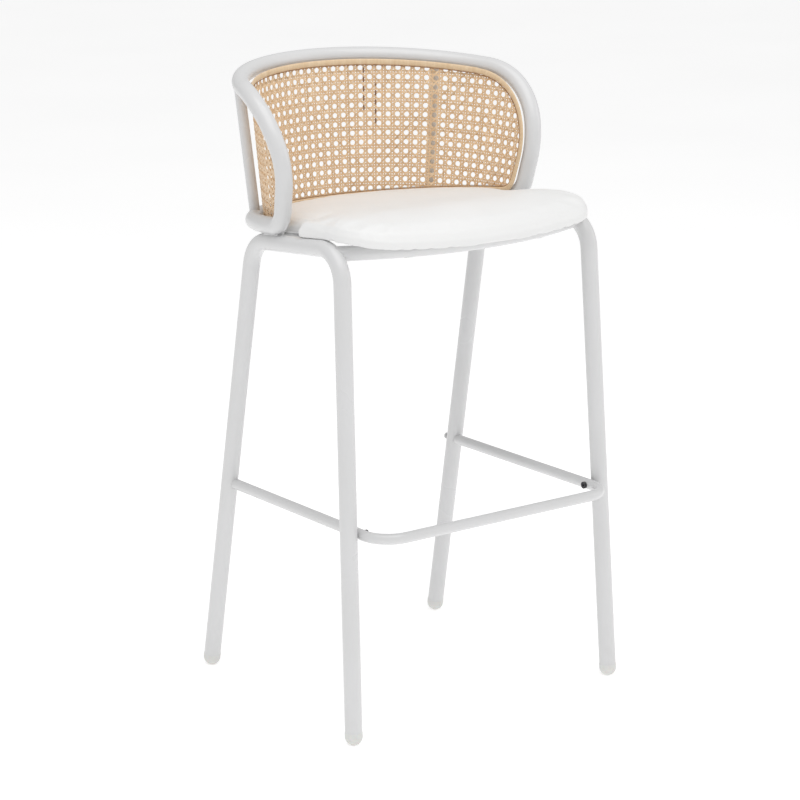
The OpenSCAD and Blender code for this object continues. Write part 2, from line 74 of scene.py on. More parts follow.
CANE_LAP = TUBE_R - 7
CANE_MID_E = TUBE_R + 1.4 + 1.2
BINDING_W = 6.0
# How far the binding strip reaches past the cane's own edge, over the tube.
BINDING_LAP = 3
BINDING_E = TUBE_R + 1.4 + 2.4 + 0.1


def rail_z(y):
    return RAIL_H - RAIL_SLOPE * y


def ring_z(y):
    return rail_z(y) + 2 * TUBE_R


def top_z(y):
    return ring_z(TOP_Y) + BACK_H + TOP_SLOPE * (y - TOP_Y)


def seat_under_z(y):
    """Height of the seat's underside; the front of the board droops."""
    reach = np.maximum(-DROOP_Y - np.asarray(y, float), 0.0)
    return rail_z(y) + TUBE_R - (DROOP_R - np.sqrt(DROOP_R**2 - reach**2))


# ---- small tools for modelling by hand ----


def deselect():
    """Nothing is selected or being edited."""
    if bpy.context.object is not None and bpy.context.object.mode != "OBJECT":
        bpy.ops.object.mode_set(mode="OBJECT")
    bpy.ops.object.select_all(action="DESELECT")


def named(name):
    """The object just added, under its own name."""
    piece = bpy.context.object
    piece.name = name
    piece.data.name = name
    return piece


def points(piece):
    flat = np.zeros(len(piece.data.vertices) * 3)
    piece.data.vertices.foreach_get("co", flat)
    return flat.reshape(-1, 3)


def place_points(piece, where):
    piece.data.vertices.foreach_set("co", np.asarray(where, float).ravel())
    piece.data.update()


def only(piece):
    deselect()
    piece.select_set(True)
    bpy.context.view_layer.objects.active = piece


def edit(piece, mode):
    """Opens edit mode with nothing selected; mode is VERT, EDGE or FACE."""
    only(piece)
    bpy.ops.object.mode_set(mode="EDIT")
    bpy.ops.mesh.select_mode(type=mode)
    bpy.ops.mesh.select_all(action="DESELECT")
    bpy.ops.object.mode_set(mode="OBJECT")


def select_where(piece, kind, chosen):
    """Selects vertices, edges or polygons by a list of true and false, then goes back to editing."""
    bpy.ops.object.mode_set(mode="OBJECT")
    getattr(piece.data, kind).foreach_set("select", np.asarray(chosen, bool))
    bpy.ops.object.mode_set(mode="EDIT")


def edge_middles(piece):
    pairs = np.zeros(len(piece.data.edges) * 2, int)
    piece.data.edges.foreach_get("vertices", pairs)
    co = points(piece)
    pairs = pairs.reshape(-1, 2)
    return (co[pairs[:, 0]] + co[pairs[:, 1]]) / 2, co[pairs[:, 1]] - co[pairs[:, 0]]


def finish_modifier(piece, kind, **settings):
    """Adds a modifier and applies it."""
    only(piece)
    modifier = piece.modifiers.new(kind.title(), kind)
    for key, value in settings.items():
        setattr(modifier, key, value)
    bpy.ops.object.modifier_apply(modifier=modifier.name)


def smooth(piece, angle=50):
    only(piece)
    bpy.ops.object.shade_smooth_by_angle(angle=math.radians(angle))


def settle(piece, material, slot, *replaced):
    """Rides on the stool, takes its material and stands for any frame nodes that it replaces."""
    piece.data.materials.clear()
    piece.data.materials.append(material)
    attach(piece, "root")
    if replaced:
        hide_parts(*replaced)
    return piece


# ---- node tools ----


class Nodes:
    """Short calls that add nodes to one tree and link them."""

    def __init__(self, tree):
        self.tree = tree

    def add(self, kind, settings=None, **sockets):
        made = self.tree.nodes.new(kind)
        for key, value in (settings or {}).items():
            setattr(made, key, value)
        for key, value in sockets.items():
            self.join(value, made.inputs[key.replace("_", " ")])
        return made

    def join(self, value, socket):
        if isinstance(value, bpy.types.NodeSocket):
            self.tree.links.new(value, socket)
        else:
            socket.default_value = value

    def maths(self, operation, first, second=0.0, clamp=False):
        made = self.tree.nodes.new("ShaderNodeMath")
        made.operation = operation
        made.use_clamp = clamp
        self.join(first, made.inputs[0])
        self.join(second, made.inputs[1])
        return made.outputs[0]

    def mix(self, share, first, second, blend="MIX"):
        made = self.tree.nodes.new("ShaderNodeMix")
        made.data_type = "RGBA"
        made.blend_type = blend
        self.join(share, made.inputs["Factor"])
        self.join(first, made.inputs["A"])
        self.join(second, made.inputs["B"])
        return made.outputs["Result"]

    def ramp(self, value, *stops):
        made = self.tree.nodes.new("ShaderNodeValToRGB")
        while len(made.color_ramp.elements) < len(stops):
            made.color_ramp.elements.new(0.5)
        for element, (place, colour) in zip(made.color_ramp.elements, stops):
            element.position = place
            element.color = colour if len(colour) == 4 else (*colour, 1)
        self.join(value, made.inputs["Fac"])
        return made.outputs["Color"]

    def stretch(self, value, low, high, out_low=0.0, out_high=1.0):
        made = self.tree.nodes.new("ShaderNodeMapRange")
        for key, number in zip(("From Min", "From Max", "To Min", "To Max"), (low, high, out_low, out_high)):
            self.join(number, made.inputs[key])
        self.join(value, made.inputs["Value"])
        return made.outputs["Result"]

    def noise(self, vector, scale, detail=3.0, roughness=0.5):
        made = self.add("ShaderNodeTexNoise", Scale=scale, Detail=detail, Roughness=roughness)
        self.join(vector, made.inputs["Vector"])
        return made.outputs["Fac"]


def group(name, inputs, outputs, build):
    """A shader node group that several materials share; build(nodes, inputs) gives its outputs by name."""
    tree = bpy.data.node_groups.new(name, "ShaderNodeTree")
    for label, kind, value in inputs:
        socket = tree.interface.new_socket(name=label, in_out="INPUT", socket_type=kind)
        if value is not None:
            socket.default_value = value
    for label, kind in outputs:
        tree.interface.new_socket(name=label, in_out="OUTPUT", socket_type=kind)
    start = tree.nodes.new("NodeGroupInput")
    end = tree.nodes.new("NodeGroupOutput")
    for label, socket in build(Nodes(tree), start.outputs).items():
        tree.links.new(socket, end.inputs[label])
    return tree


def use(nodes, tree, **sockets):
    made = nodes.tree.nodes.new("ShaderNodeGroup")
    made.node_tree = tree
    for key, value in sockets.items():
        nodes.join(value, made.inputs[key.replace("_", " ")])
    return made.outputs


def material(name, build, **constants):
    """A material whose varying values come from build(nodes); constants sit on the shader's sockets."""
    made = bpy.data.materials.new(name)
    made.use_nodes = True
    nodes = Nodes(made.node_tree)
    shader = made.node_tree.nodes["Principled BSDF"]
    for key, value in constants.items():
        shader.inputs[key.replace("_", " ")].default_value = value
    for key, value in build(nodes).items():
        nodes.join(value, shader.inputs[key])
    return made


def bump(nodes, height, strength, distance, under=None):
    made = nodes.add("ShaderNodeBump", Strength=strength, Distance=distance, Height=height)
    if under is not None:
        nodes.join(under, made.inputs["Normal"])
    return made.outputs["Normal"]


def here(nodes):
    return nodes.add("ShaderNodeTexCoord").outputs["Object"]


# ---- shared effects ----

COLOUR, NUMBER, VECTOR = "NodeSocketColor", "NodeSocketFloat", "NodeSocketVector"


def build_coat(n, given):
    """Orange peel of a sprayed or baked coat, with soft drifts in tone."""
    peel = n.noise(given["Place"], given["Peel Scale"], 2.0, 0.4)
    fine = n.noise(given["Place"], n.maths("MULTIPLY", given["Peel Scale"], 4.3), 2.0, 0.5)
    drift = n.noise(given["Place"], 9.0, 2.0, 0.5)
    height = n.maths("ADD", n.maths("MULTIPLY", peel, 0.8), n.maths("MULTIPLY", fine, 0.2))
    tone = n.mix(n.stretch(drift, 0.3, 0.7), given["Colour"], given["Drift Colour"])
    rough = n.maths("ADD", given["Roughness"], n.maths("MULTIPLY", n.maths("SUBTRACT", drift, 0.5), 0.16))
    return {"Colour": tone, "Roughness": rough, "Height": height}


coat_group = group(
    "baked_coat",
    [("Place", VECTOR, None), ("Peel Scale", NUMBER, 420.0), ("Colour", COLOUR, (0.8, 0.8, 0.8, 1)),
     ("Drift Colour", COLOUR, (0.77, 0.77, 0.76, 1)), ("Roughness", NUMBER, 0.3)],
    [("Colour", COLOUR), ("Roughness", NUMBER), ("Height", NUMBER)],
    build_coat,
)


def build_dust(n, given):
    """Settled dust and faint scuffs; more of it low down, by height above the floor."""
    height = n.add("ShaderNodeSeparateXYZ", Vector=given["Place"]).outputs["Z"]
    low = n.stretch(height, 0.0, given["Reach"], 1.0, 0.0)
    cloud = n.stretch(n.noise(given["Place"], 60.0, 5.0, 0.65), 0.45, 0.75)
    streak = n.add("ShaderNodeMapping", Vector=given["Place"], Scale=(260.0, 260.0, 30.0))
    scratch = n.stretch(n.noise(streak.outputs["Vector"], 1.0, 2.0, 0.5), 0.68, 0.74)
    mask = n.maths("MULTIPLY", n.maths("MAXIMUM", cloud, scratch), low, clamp=True)
    return {"Mask": n.maths("MULTIPLY", mask, given["Amount"], clamp=True)}


dust_group = group(
    "floor_dust",
    [("Place", VECTOR, None), ("Reach", NUMBER, 0.12), ("Amount", NUMBER, 0.35)],
    [("Mask", NUMBER)],
    build_dust,
)


def build_fibre(n, given):
    """Lengthwise plant fibre: fine lines that run along the piece, with slow changes of tone."""
    lines = n.add("ShaderNodeMapping", Vector=given["Along"], Scale=(14.0, 5.0, 1.0))
    fine = n.noise(lines.outputs["Vector"], given["Line Scale"], 3.0, 0.6)
    slow = n.add("ShaderNodeMapping", Vector=given["Along"], Scale=(1.0, 0.6, 1.0))
    drift = n.noise(slow.outputs["Vector"], 22.0, 2.0, 0.5)
    base = n.mix(n.stretch(drift, 0.3, 0.7), given["Light"], given["Dark"])
    lined = n.mix(n.stretch(fine, 0.35, 0.7, 0.0, 0.5), base, given["Line"])
    return {"Colour": lined, "Height": fine, "Drift": drift}


fibre_group = group(
    "plant_fibre",
    [("Along", VECTOR, None), ("Line Scale", NUMBER, 6.0), ("Light", COLOUR, (0.8, 0.6, 0.38, 1)),
     ("Dark", COLOUR, (0.66, 0.45, 0.24, 1)), ("Line", COLOUR, (0.5, 0.32, 0.16, 1))],
    [("Colour", COLOUR), ("Height", NUMBER), ("Drift", NUMBER)],
    build_fibre,
)


def build_metal(n, given):
    """Plated or blackened steel: fine turning marks and faint blotches."""
    marks = n.add("ShaderNodeMapping", Vector=given["Place"], Scale=(400.0, 400.0, 2600.0))
    fine = n.noise(marks.outputs["Vector"], 1.0, 2.0, 0.5)
    blotch = n.noise(given["Place"], 180.0, 4.0, 0.6)
    colour = n.mix(n.stretch(blotch, 0.4, 0.75), given["Colour"], given["Worn Colour"])
    rough = n.maths("ADD", given["Roughness"], n.maths("MULTIPLY", blotch, 0.15))
    return {"Colour": colour, "Roughness": rough, "Height": fine}


metal_group = group(
    "small_metal",
    [("Place", VECTOR, None), ("Colour", COLOUR, (0.1, 0.1, 0.1, 1)),
     ("Worn Colour", COLOUR, (0.2, 0.2, 0.2, 1)),
     ("Roughness", NUMBER, 0.35)],
    [("Colour", COLOUR), ("Roughness", NUMBER), ("Height", NUMBER)],
    build_metal,
)


# ---- materials ----


def white_coat(nodes):
    place = here(nodes)
    coat = use(nodes, coat_group, Place=place, Peel_Scale=430.0, Colour=(0.70, 0.70, 0.705, 1),
               Drift_Colour=(0.68, 0.68, 0.68, 1), Roughness=0.3)
    dust = use(nodes, dust_group, Place=place, Reach=0.1, Amount=0.22)["Mask"]
    return {
        "Base Color": nodes.mix(dust, coat["Colour"], (0.52, 0.5, 0.47, 1)),
        "Roughness": nodes.maths("ADD", coat["Roughness"], nodes.maths("MULTIPLY", dust, 0.35), clamp=True),
        "Normal": bump(nodes, coat["Height"], 0.09, 0.0006),
    }


frame_paint = material("white_powder_coat", white_coat, Coat_Weight=0.25, Coat_Roughness=0.12)


def foot_plastic(nodes):
    place = here(nodes)
    coat = use(nodes, coat_group, Place=place, Peel_Scale=900.0, Colour=(0.74, 0.74, 0.72, 1),
               Drift_Colour=(0.68, 0.68, 0.66, 1), Roughness=0.48)
    dust = use(nodes, dust_group, Place=place, Reach=0.02, Amount=0.7)["Mask"]
    return {
        "Base Color": nodes.mix(dust, coat["Colour"], (0.42, 0.4, 0.37, 1)),
        "Roughness": nodes.maths("ADD", coat["Roughness"], nodes.maths("MULTIPLY", dust, 0.25), clamp=True),
        "Normal": bump(nodes, coat["Height"], 0.12, 0.0004),
    }


glide_plastic = material("glide_plastic", foot_plastic, Subsurface_Weight=0.05)


def faux_leather(nodes):
    place = here(nodes)
    grain = nodes.add("ShaderNodeTexVoronoi", {"feature": "SMOOTH_F1"}, Scale=620.0, Smoothness=0.6)
    nodes.join(place, grain.inputs["Vector"])
    pores = nodes.noise(place, 1900.0, 2.0, 0.6)
    creases = nodes.noise(place, 34.0, 4.0, 0.55)
    tone = nodes.noise(place, 7.0, 2.0, 0.5)
    height = nodes.maths("ADD", nodes.maths("MULTIPLY", grain.outputs["Distance"], 0.75),
                         nodes.maths("MULTIPLY", pores, 0.25))
    soft = bump(nodes, creases, 0.07, 0.003)
    return {
        "Base Color": nodes.mix(nodes.stretch(tone, 0.3, 0.7),
                                (0.86, 0.86, 0.855, 1), (0.83, 0.83, 0.825, 1)),
        "Roughness": nodes.stretch(creases, 0.3, 0.7, 0.4, 0.52),
        "Normal": bump(nodes, height, 0.22, 0.0005, soft),
    }


upholstery = material("white_faux_leather", faux_leather, Sheen_Weight=0.08, Sheen_Roughness=0.5)


def cane_skin(nodes):
    along = nodes.add("ShaderNodeUVMap", {"uv_map": "along"}).outputs["UV"]
    tone = nodes.add("ShaderNodeAttribute", {"attribute_name": "tone"}).outputs["Fac"]
    stain = nodes.add("ShaderNodeAttribute", {"attribute_name": "stain"}).outputs["Fac"]
    fibre = use(nodes, fibre_group, Along=along, Line_Scale=5.0, Light=(0.91, 0.72, 0.50, 1),
                Dark=(0.79, 0.55, 0.33, 1), Line=(0.62, 0.40, 0.22, 1))
    shade = nodes.ramp(tone, (0.0, (0.72, 0.68, 0.62)), (0.35, (0.95, 0.92, 0.88)), (0.75, (1.0, 1.0, 1.0)),
                       (1.0, (1.12, 1.14, 1.16)))
    colour = nodes.mix(1.0, fibre["Colour"], shade, "MULTIPLY")
    return {
        "Base Color": nodes.mix(stain, colour, (0.14, 0.05, 0.02, 1)),
        "Roughness": nodes.stretch(fibre["Drift"], 0.3, 0.7, 0.34, 0.5),
        "Normal": bump(nodes, fibre["Height"], 0.25, 0.0003),
    }


cane = material("split_cane", cane_skin, Coat_Weight=0.12, Coat_Roughness=0.3)


def binding_core(nodes):
    along = nodes.add("ShaderNodeUVMap", {"uv_map": "along"}).outputs["UV"]
    fibre = use(nodes, fibre_group, Along=along, Line_Scale=4.0, Light=(0.83, 0.66, 0.46, 1),
                Dark=(0.76, 0.57, 0.36, 1), Line=(0.66, 0.46, 0.27, 1))
    return {
        "Base Color": fibre["Colour"],
        "Roughness": nodes.stretch(fibre["Drift"], 0.3, 0.7, 0.4, 0.55),
        "Normal": bump(nodes, fibre["Height"], 0.3, 0.0004),
    }


rattan = material("rattan_binding", binding_core)


# Painted shade: this dark brown colour goes on a thin strip along the cane's inner edge and stands for the
# shadow in the groove between the binding and the cane.
def painted_groove_shadow(nodes):
    along = nodes.add("ShaderNodeUVMap", {"uv_map": "along"}).outputs["UV"]
    fibre = use(nodes, fibre_group, Along=along, Line_Scale=4.0, Light=(0.42, 0.22, 0.1, 1),
                Dark=(0.3, 0.14, 0.06, 1), Line=(0.22, 0.1, 0.04, 1))
    return {
        "Base Color": fibre["Colour"],
        "Roughness": nodes.stretch(fibre["Drift"], 0.3, 0.7, 0.5, 0.65),
        "Normal": bump(nodes, fibre["Height"], 0.3, 0.0003),
    }


groove_shadow_paint = material("groove_shadow_cord", painted_groove_shadow)


def small_metal(colour, worn, rough):
    def build(nodes):
        steel = use(nodes, metal_group, Place=here(nodes), Colour=colour, Worn_Colour=worn, Roughness=rough)
        return {"Base Color": steel["Colour"], "Roughness": steel["Roughness"],
                "Normal": bump(nodes, steel["Height"], 0.12, 0.0002)}

    return build


black_oxide = material("black_oxide_screw",
                       small_metal((0.045, 0.045, 0.05, 1), (0.12, 0.115, 0.11, 1), 0.32), Metallic=0.9)
zinc = material("zinc_plate", small_metal((0.62, 0.63, 0.66, 1), (0.5, 0.5, 0.48, 1), 0.28), Metallic=1.0)
staple_steel = material("staple_steel",
                        small_metal((0.7, 0.7, 0.72, 1), (0.55, 0.52, 0.48, 1), 0.25), Metallic=1.0)


def birch_board(nodes):
    place = here(nodes)
    grain = nodes.add("ShaderNodeMapping", Vector=place, Scale=(90.0, 8.0, 90.0))
    lines = nodes.noise(grain.outputs["Vector"], 1.0, 5.0, 0.6)
    plies = nodes.add("ShaderNodeTexWave", {"bands_direction": "Z"}, Vector=place, Scale=330.0,
                      Distortion=0.6)
    face = nodes.ramp(lines, (0.3, (0.72, 0.53, 0.33)), (0.55, (0.62, 0.43, 0.25)),
                      (0.75, (0.48, 0.31, 0.16)))
    edge = nodes.stretch(plies.outputs["Fac"], 0.5, 0.62, 0.0, 0.35)
    return {
        "Base Color": nodes.mix(edge, face, (0.3, 0.18, 0.09, 1)),
        "Roughness": nodes.stretch(lines, 0.3, 0.7, 0.6, 0.78),
        "Normal": bump(nodes, lines, 0.3, 0.0005),
    }


plywood = material("birch_plywood", birch_board)


def spun_cloth(nodes):
    place = here(nodes)
    cells = nodes.add("ShaderNodeTexVoronoi", {"feature": "DISTANCE_TO_EDGE"}, Scale=520.0)
    nodes.join(place, cells.inputs["Vector"])
    dots = nodes.stretch(cells.outputs["Distance"], 0.02, 0.2)
    fuzz = nodes.noise(place, 1500.0, 3.0, 0.6)
    return {
        "Base Color": nodes.mix(fuzz, (0.018, 0.018, 0.02, 1), (0.05, 0.05, 0.052, 1)),
        "Roughness": nodes.stretch(fuzz, 0.3, 0.7, 0.82, 0.95),
        "Normal": bump(nodes, nodes.maths("ADD", dots, nodes.maths("MULTIPLY", fuzz, 0.3)), 0.35, 0.0003),
    }


dust_cloth = material("black_nonwoven", spun_cloth)


def moulded(light, dark, rough):
    def build(nodes):
        place = here(nodes)
        pitted = nodes.noise(place, 1300.0, 3.0, 0.6)
        cloud = nodes.noise(place, 70.0, 3.0, 0.5)
        return {"Base Color": nodes.mix(nodes.stretch(cloud, 0.35, 0.7), light, dark),
                "Roughness": nodes.stretch(cloud, 0.3, 0.7, rough, rough + 0.12),
                "Normal": bump(nodes, pitted, 0.25, 0.0002)}

    return build


rubber = material("black_rubber", moulded((0.02, 0.02, 0.02, 1), (0.045, 0.043, 0.04, 1), 0.72))
foam_stuff = material("cut_foam", moulded((0.8, 0.76, 0.62, 1), (0.74, 0.69, 0.54, 1), 0.85))

SHOWN = {
    "frame_paint": frame_paint, "glide_plastic": glide_plastic,
    "screw_black": black_oxide, "zinc_steel": zinc,
    "plywood": plywood, "foam": foam_stuff, "upholstery": upholstery, "dust_cloth": dust_cloth,
    "rubber": rubber, "cane": cane, "rattan_binding": rattan,
}
for part in frame["record"]["subparts"]:
    node = frame["nodes"][part["node"]]
    node.data.materials.clear()
    node.data.materials.append(SHOWN[part["material_slot"]])


# ---- seat cushion ----


def arc(centre, radius, start, end, steps):
    turn = np.radians(np.linspace(start, end, steps + 1))
    return np.array(centre) + radius * np.stack([np.cos(turn), np.sin(turn)], 1)


def seat_outline(inset, count):
    """The seat in plan, drawn inwards by inset and cut into equal steps."""
    front_c = SEAT_FRONT_R - SEAT_FRONT_Y
    corner_x = SEAT_HALF_W - SEAT_CORNER_R
    bow = math.degrees(math.acos(corner_x / (SEAT_FRONT_R - SEAT_CORNER_R)))
    corner_y = front_c - (SEAT_FRONT_R - SEAT_CORNER_R) * math.sin(math.radians(bow))
    half = np.concatenate([
        arc([0, front_c], SEAT_FRONT_R - inset, -90, -bow, 24),
        arc([corner_x, corner_y], SEAT_CORNER_R - inset, -bow, 0, 24),
        arc([SEAT_HALF_W - 14, -NOTCH_Y - 14], 14 - inset, 0, 60, 8),
        arc([SEAT_REAR_R + 4, -NOTCH_Y + 8], 4 + inset, 240, 180, 6),
        arc([0, RING_Y], SEAT_REAR_R - inset, 0, 90, 40),
    ])
    whole = np.concatenate([half, (half * [-1, 1])[-2:0:-1]])
    closed = np.concatenate([whole, whole[:1]])
    run = np.concatenate([[0], np.cumsum(np.linalg.norm(np.diff(closed, axis=0), axis=1))])
    at = np.linspace(0, run[-1], count, endpoint=False)
    return np.stack([np.interp(at, run, closed[:, k]) for k in (0, 1)], 1)


def distance_inside(spots, outline):
    """How far each spot lies from the outline."""
    start, end = outline, np.roll(outline, -1, axis=0)
    along = end - start
    nearest = np.full(len(spots), 1e9)
    for p, d in zip(start, along):
        share = np.clip(((spots - p) @ d) / (d @ d), 0, 1)
        gap = np.linalg.norm(spots - p - share[:, None] * d, axis=1)
        nearest = np.minimum(nearest, gap)
    return nearest


def hug(spots, outline):
    """Moves spots on to the nearest place on the outline."""
    start = outline
    along = np.roll(outline, -1, axis=0) - start
    share = np.einsum("ijk,jk->ij", spots[:, None] - start[None], along) / np.sum(along**2, axis=1)
    near = start + np.clip(share, 0, 1)[..., None] * along
    pick = np.argmin(np.linalg.norm(spots[:, None] - near, axis=2), axis=1)
    return near[np.arange(len(spots)), pick]


def step_up(value, low, high):
    share = np.clip((value - low) / (high - low), 0, 1)
    return share * share * (3 - 2 * share)


CUSHION_STEPS = 240
EDGE_ROUND = 9.0
FOOT_ROUND = 1.6
SWELL_CAP = 3.5
CROWN_RISE = 3.2
PAD_T = SEAT_T - 1.5
# Below SIDE_TOP, skin within SIDE_REACH of the seat's outline is laid SIDE_INSET inside it.
SIDE_TOP, SIDE_REACH, SIDE_INSET = 12, 4, 0.25


def make_cushion():
    """The pad: an outline raised to the foam's height, its rims rounded, then inflated under its cover."""
    deselect()
    bpy.ops.mesh.primitive_circle_add(vertices=CUSHION_STEPS, radius=0.2, fill_type="NGON")
    pad = named("seat_cushion")
    outline = seat_outline(0.6, CUSHION_STEPS)
    co = points(pad)
    order = np.argsort(np.arctan2(co[:, 1], co[:, 0]) % (2 * math.pi))
    begin = int(np.argmin(np.abs(np.arctan2(outline[:, 1], outline[:, 0]))))
    co[order, :2] = np.roll(outline, -begin, axis=0) * MM
    co[:, 2] = 0.0
    place_points(pad, co)
    edit(pad, "FACE")
    select_where(pad, "polygons", [True] * len(pad.data.polygons))
    bpy.ops.mesh.extrude_region_move(TRANSFORM_OT_translate={"value": (0, 0, PAD_T * MM)})
    bpy.ops.mesh.select_all(action="SELECT")
    bpy.ops.mesh.normals_make_consistent(inside=False)
    for height, width, rings in ((PAD_T * MM, EDGE_ROUND * MM, 6), (0.0, FOOT_ROUND * MM, 3)):
        bpy.ops.object.mode_set(mode="OBJECT")
        middle, _ = edge_middles(pad)
        bpy.ops.object.mode_set(mode="EDIT")
        bpy.ops.mesh.select_mode(type="EDGE")
        bpy.ops.mesh.select_all(action="DESELECT")
        select_where(pad, "edges", np.abs(middle[:, 2] - height) < 1e-5)
        bpy.ops.mesh.bevel(offset=width, segments=rings, profile=0.5)
    bpy.ops.object.mode_set(mode="OBJECT")
    finish_modifier(pad, "REMESH", mode="VOXEL", voxel_size=0.0045)

    rest = points(pad)
    inflate(pad, rest)
    shaped = points(pad)
    moved = shaped - rest
    length = np.linalg.norm(moved, axis=1, keepdims=True)
    cap = SWELL_CAP * MM
    moved *= np.minimum(1.0, cap * np.tanh(length / cap) / np.maximum(length, 1e-9))
    shaped = rest + moved
    flat = shaped / MM
    inside = distance_inside(flat[:, :2], seat_outline(0, CUSHION_STEPS))
    crown = CROWN_RISE * step_up(inside, 6, 95) * step_up(flat[:, 2], SIDE_TOP, 22)
    low = (flat[:, 2] < SIDE_TOP) & (inside < SIDE_REACH)
    flat[low, :2] = hug(flat[low, :2], seat_outline(SIDE_INSET, 4 * CUSHION_STEPS))
    # The underside steps up inside the cover's turned-under edge.
    under = 0.05 + 1.17 * step_up(inside, WRAP_W - 7, WRAP_W - 1)
    flat[:, 2] = np.maximum(flat[:, 2], under)
    flat[:, 2] = np.where(flat[:, 2] < 2.4, under + np.maximum(flat[:, 2] - 1.3, 0) * 0.9, flat[:, 2])
    flat[:, 2] += crown + seat_under_z(flat[:, 1])
    flat[:, 1] += SHIFT_Y
    place_points(pad, flat * MM)
    finish_modifier(pad, "SUBSURF", levels=1, render_levels=1)
    smooth(pad, 70)
    settle(pad, upholstery, "upholstery", "seat_cover", "seat_foam", "seat_board")
    return pad


def inflate(pad, rest):
    """Air pressure swells the cover, with the board's edge held."""
    held = pad.vertex_groups.new(name="held")
    held.add([int(i) for i in np.where(rest[:, 2] < 0.0075)[0]], 1.0, "REPLACE")
    cloth = pad.modifiers.new("Cloth", "CLOTH")
    cloth.settings.quality = 5
    cloth.settings.mass = 0.3
    cloth.settings.tension_stiffness = 25
    cloth.settings.compression_stiffness = 25
    cloth.settings.bending_stiffness = 4
    cloth.settings.use_pressure = True
    cloth.settings.uniform_pressure_force = 4
    cloth.settings.vertex_group_mass = "held"
    cloth.settings.effector_weights.gravity = 0
    cloth.collision_settings.use_self_collision = False
    cloth.point_cache.frame_start = 1
    cloth.point_cache.frame_end = 20
    for tick in range(1, 21):
        scene.frame_set(tick)
    only(pad)
    bpy.ops.object.modifier_apply(modifier=cloth.name)
    scene.frame_set(1)
    pad.vertex_groups.clear()


make_cushion()


# ---- staples in the cover's turned-under edge ----


def make_staples():
    """One staple, a flat crown with two legs, copied round the turned-under edge of the cover."""
    ring = seat_outline(13, 64)
    facing = np.roll(ring, -1, axis=0) - np.roll(ring, 1, axis=0)
    made = []
    for k, ((x, y), (dx, dy)) in enumerate(zip(ring, facing)):
        deselect()
        bpy.ops.mesh.primitive_cube_add(size=1.0)
        staple = named(f"staple_{k}")
        co = points(staple)
        co *= [10.0, 1.2, 0.6]
        place_points(staple, co)
        edit(staple, "FACE")
        select_where(staple, "polygons", [abs(f.normal.x) > 0.9 for f in staple.data.polygons])
        bpy.ops.mesh.extrude_faces_move(TRANSFORM_OT_shrink_fatten={"value": 1.2})
        bpy.ops.object.mode_set(mode="OBJECT")
        co = points(staple)
        co[:, 2] += np.where(np.abs(co[:, 0]) > 5.5, 0.55, 0)
        lean = math.atan2(dy, dx) + rng.uniform(-0.35, 0.35)
        turned = np.stack([co[:, 0] * math.cos(lean) - co[:, 1] * math.sin(lean) + x,
                           co[:, 0] * math.sin(lean) + co[:, 1] * math.cos(lean) + y], 1)
        height = seat_under_z(turned[:, 1]) + co[:, 2] - 0.12
        place_points(staple, np.column_stack([turned[:, 0], turned[:, 1] + SHIFT_Y, height]) * MM)
        made.append(staple)
    deselect()
    for staple in made:
        staple.select_set(True)
    bpy.context.view_layer.objects.active = made[0]
    bpy.ops.object.join()
    staples = named("cover_staples")
    return settle(staples, staple_steel, "zinc_steel")


make_staples()


# ---- cane back ----

CONE_H = BACK_H + (RAIL_SLOPE + TOP_SLOPE) * UNROLL_R / 2
CONE_SLOPE = (TOP_R - RING_R) / CONE_H
CONE_Y = (RING_Y + TOP_Y) / 2
CONE_Z = ring_z(CONE_Y) + BACK_H / 2
CONE_TILT = math.atan((RING_Y - TOP_Y) / CONE_H)
TILT_C, TILT_S = math.cos(CONE_TILT), math.sin(CONE_TILT)
SHEET_R = UNROLL_R - CANE_MID_E


def on_cone(turn, up, inset):
    """A point of the cane's cone: turn in radians from the right side, up along the axis."""
    radius = UNROLL_R - inset + CONE_SLOPE * up
    out = radius * np.sin(turn)
    return np.stack([radius * np.cos(turn), out * TILT_C - up * TILT_S + CONE_Y,
                     out * TILT_S + up * TILT_C + CONE_Z], -1)


def cone_turn(y, z, inset):
    """The inverse for the right half, from a place in the side view."""
    dy, dz = y - CONE_Y, z - CONE_Z
    out, up = dy * TILT_C + dz * TILT_S, -dy * TILT_S + dz * TILT_C
    return np.arcsin(np.clip(out / (UNROLL_R - inset + CONE_SLOPE * up), -1, 1)), up


def on_surface(s, h):
    """The hoop's own surface: s along from the middle of the back, h up from the ring."""
    turn = math.pi / 2 - s / UNROLL_R
    share = h / BACK_H
    radius = RING_R + (TOP_R - RING_R) * share
    y = RING_Y + (TOP_Y - RING_Y) * share + radius * np.sin(turn)
    return np.stack([y, ring_z(y) + (top_z(y) - ring_z(y)) * share], -1)


def unit(v):
    return np.asarray(v, float) / np.linalg.norm(v)


def fillet_centre(p, q, s, r):
    p, q, s = (np.asarray(v, float) for v in (p, q, s))
    a, b = unit(p - q), unit(s - q)
    return q + unit(a + b) * r / math.sin(math.acos(a @ b) / 2)


arm_top, arm_low = np.array([ARM_TOP_S, BACK_H]), np.array([ARM_LOW_S, 0.0])
ARM_TURN = 180 - math.degrees(math.acos(unit([-1, 0]) @ unit(arm_low - arm_top)))
arm_centre = fillet_centre([0, BACK_H], arm_top, arm_low, ARM_R)
low_centre = fillet_centre(arm_top, arm_low, [0, 0], ARM_LOW_R)


def arm_side(inset):
    """The arm's edge of the cane in the side view, drawn inwards, from the top rail to the ring."""
    upper = arc(arm_centre, ARM_R - inset, 90, 90 - ARM_TURN, 40)
    lower = arc(low_centre, ARM_LOW_R - inset, 90 - ARM_TURN, -90, 24)
    flat = np.concatenate([upper, lower])
    return on_surface(flat[:, 0], flat[:, 1])


